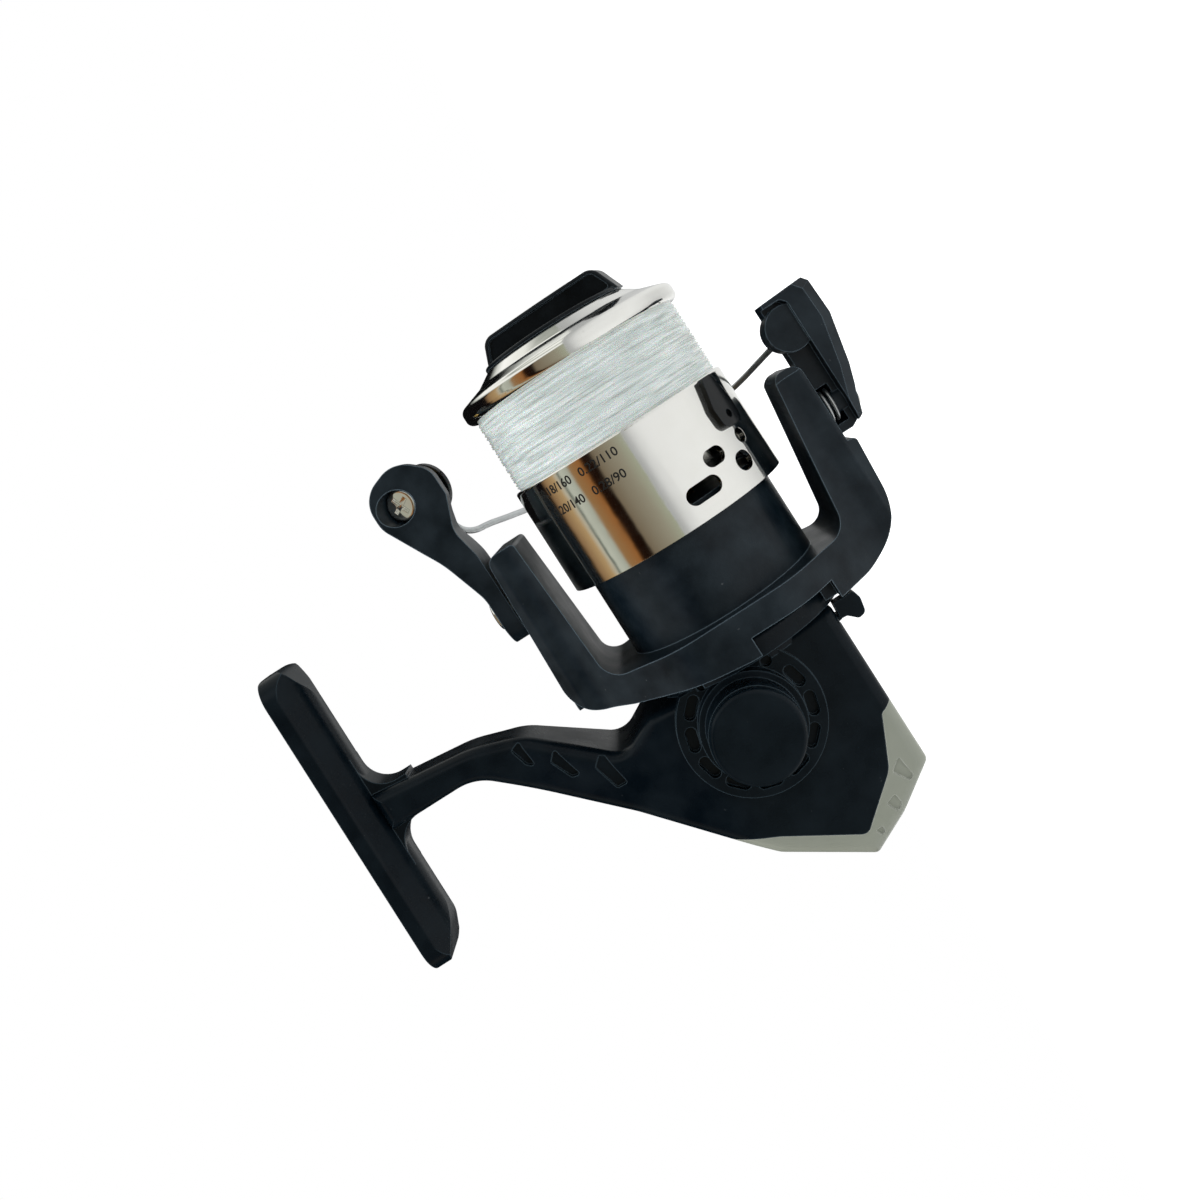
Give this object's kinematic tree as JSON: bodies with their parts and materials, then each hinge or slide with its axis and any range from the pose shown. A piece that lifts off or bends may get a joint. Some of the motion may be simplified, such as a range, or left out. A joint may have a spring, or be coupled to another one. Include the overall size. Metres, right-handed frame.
{
  "type": "fixed-spool fishing reel",
  "caption": "Small front-drag spinning reel with a chromed spool, a turning rotor with a flip-over bail, a crank handle and a foot for a rod.",
  "frame": {"origin": "centre of the foot's mounting face", "axes": "+Z out of the foot, towards the rod; +X forward along the spool's axis, towards the drag knob; +Y to the handle side"},
  "size_m": [0.1058, 0.102, 0.1154],
  "materials": {
    "case_black": "satin black moulding",
    "rotor_black": "satin black moulding",
    "knob_black": "black moulding",
    "grip_black": "soft black grip",
    "cone_black": "black moulding",
    "silver_trim": "pale silver paint",
    "chrome": "mirror chrome plate",
    "steel": "bright steel",
    "brass": "machined brass",
    "brass_roller": "polished brass",
    "zinc": "zinc casting",
    "arm_paint": "black paint",
    "gear_plastic": "white acetal",
    "felt": "oiled felt",
    "fishing_line": "clear monofilament"
  },
  "bodies": {
    "housing": {"body_housing": "case_black", "side_cover": "case_black", "side_cover_screws": "steel", "rear_trim": "silver_trim", "rear_trim_screw": "steel", "handle_hole_cap": "case_black", "gear_bushes": "brass", "pinion_bearing": "steel", "bearing_retainer": "steel", "oscillation_clip": "steel", "pawl_screw": "steel"},
    "handle": {"drive_gear": "zinc", "oscillation_pinion": "zinc", "handle_shaft": "steel", "handle_arm": "arm_paint", "arm_nut": "chrome", "knob_spindle": "steel"},
    "knob": {"handle_knob": "grip_black", "knob_end_cap": "silver_trim"},
    "rotor": {"rotor": "rotor_black", "pinion_gear": "brass", "ratchet_wheel": "steel", "rotor_nut": "brass", "arm_cover": "rotor_black", "arm_cover_screws": "steel", "bail_pivot_screws": "chrome", "bail_spring": "steel"},
    "crank": {"oscillation_gear": "gear_plastic"},
    "bail": {"bail_arm": "rotor_black", "bail_holder": "rotor_black", "bail_wire": "steel", "wire_cone": "cone_black", "roller_screw": "chrome", "roller_bush": "gear_plastic"},
    "roller": {"line_roller": "brass_roller"},
    "trip": {"trip_lever": "gear_plastic"},
    "shaft": {"main_shaft": "steel", "slider": "zinc", "slider_screw": "steel", "spool_seat": "brass", "click_wheel": "gear_plastic", "drag_metal_washers": "steel", "pressure_washer": "steel"},
    "spool": {"spool": "chrome", "line_core": "fishing_line", "line_turns": "fishing_line", "line_clip": "cone_black", "drag_felt_washers": "felt", "drag_retaining_ring": "steel", "clicker": "gear_plastic"},
    "drag_knob": {"drag_knob": "knob_black", "knob_nut": "brass", "drag_spring": "steel"},
    "reverse_lever": {"anti_reverse_lever": "case_black"},
    "pawl": {"anti_reverse_pawl": "steel"}
  },
  "joints": [
    {"name": "handle_spin", "type": "hinge", "parent": "housing", "child": "handle", "pos_m": [-0.019, 0, -0.0675], "axis": [0, 1, 0], "continuous": true},
    {"name": "knob_spin", "type": "hinge", "parent": "handle", "child": "knob", "pos_m": [0.023, 0.066, -0.0675], "axis": [0, 1, 0], "continuous": true},
    {"name": "rotor_spin", "type": "hinge", "parent": "housing", "child": "rotor", "pos_m": [0.003, 0, -0.0742], "axis": [1, 0, 0], "continuous": true},
    {"name": "oscillation_spin", "type": "hinge", "parent": "housing", "child": "crank", "pos_m": [-0.02991, 0, -0.0742], "axis": [0, 1, 0], "continuous": true},
    {"name": "bail_flip", "type": "hinge", "parent": "rotor", "child": "bail", "pos_m": [0.016, 0, -0.0742], "axis": [0, 0, -1], "range_deg": [0, 104]},
    {"name": "roller_spin", "type": "hinge", "parent": "bail", "child": "roller", "pos_m": [0.0408, 0, -0.0392], "axis": [0, 0.9063, -0.4226], "continuous": true},
    {"name": "trip_turn", "type": "hinge", "parent": "rotor", "child": "trip", "pos_m": [0.003, 0, -0.0462], "axis": [0, 0, -1], "range_deg": [0, 10.4]},
    {"name": "spool_slide", "type": "slide", "parent": "housing", "child": "shaft", "axis": [1, 0, 0], "range_m": [-0.0064, 0.0024]},
    {"name": "spool_spin", "type": "hinge", "parent": "shaft", "child": "spool", "pos_m": [0.037, 0, -0.0742], "axis": [1, 0, 0], "continuous": true},
    {"name": "drag_turn", "type": "hinge", "parent": "shaft", "child": "drag_knob", "pos_m": [0.053, 0, -0.0742], "axis": [1, 0, 0], "range_deg": [-170, 170]},
    {"name": "reverse_lever_turn", "type": "hinge", "parent": "housing", "child": "reverse_lever", "pos_m": [-0.011, -0.0065, -0.0844], "axis": [1, 0, 0], "range_deg": [0, 35]},
    {"name": "pawl_turn", "type": "hinge", "parent": "housing", "child": "pawl", "pos_m": [-0.0013, 0.0104, -0.0802], "axis": [1, 0, 0], "range_deg": [-10, 0]}
  ],
  "couplings": [
    {"joint": "rotor_spin", "follows": "handle_spin", "ratio": -5.1429},
    {"joint": "oscillation_spin", "follows": "handle_spin", "ratio": -0.88235},
    {"joint": "trip_turn", "follows": "bail_flip", "ratio": 0.1},
    {"joint": "pawl_turn", "follows": "reverse_lever_turn", "ratio": -0.28571}
  ]
}
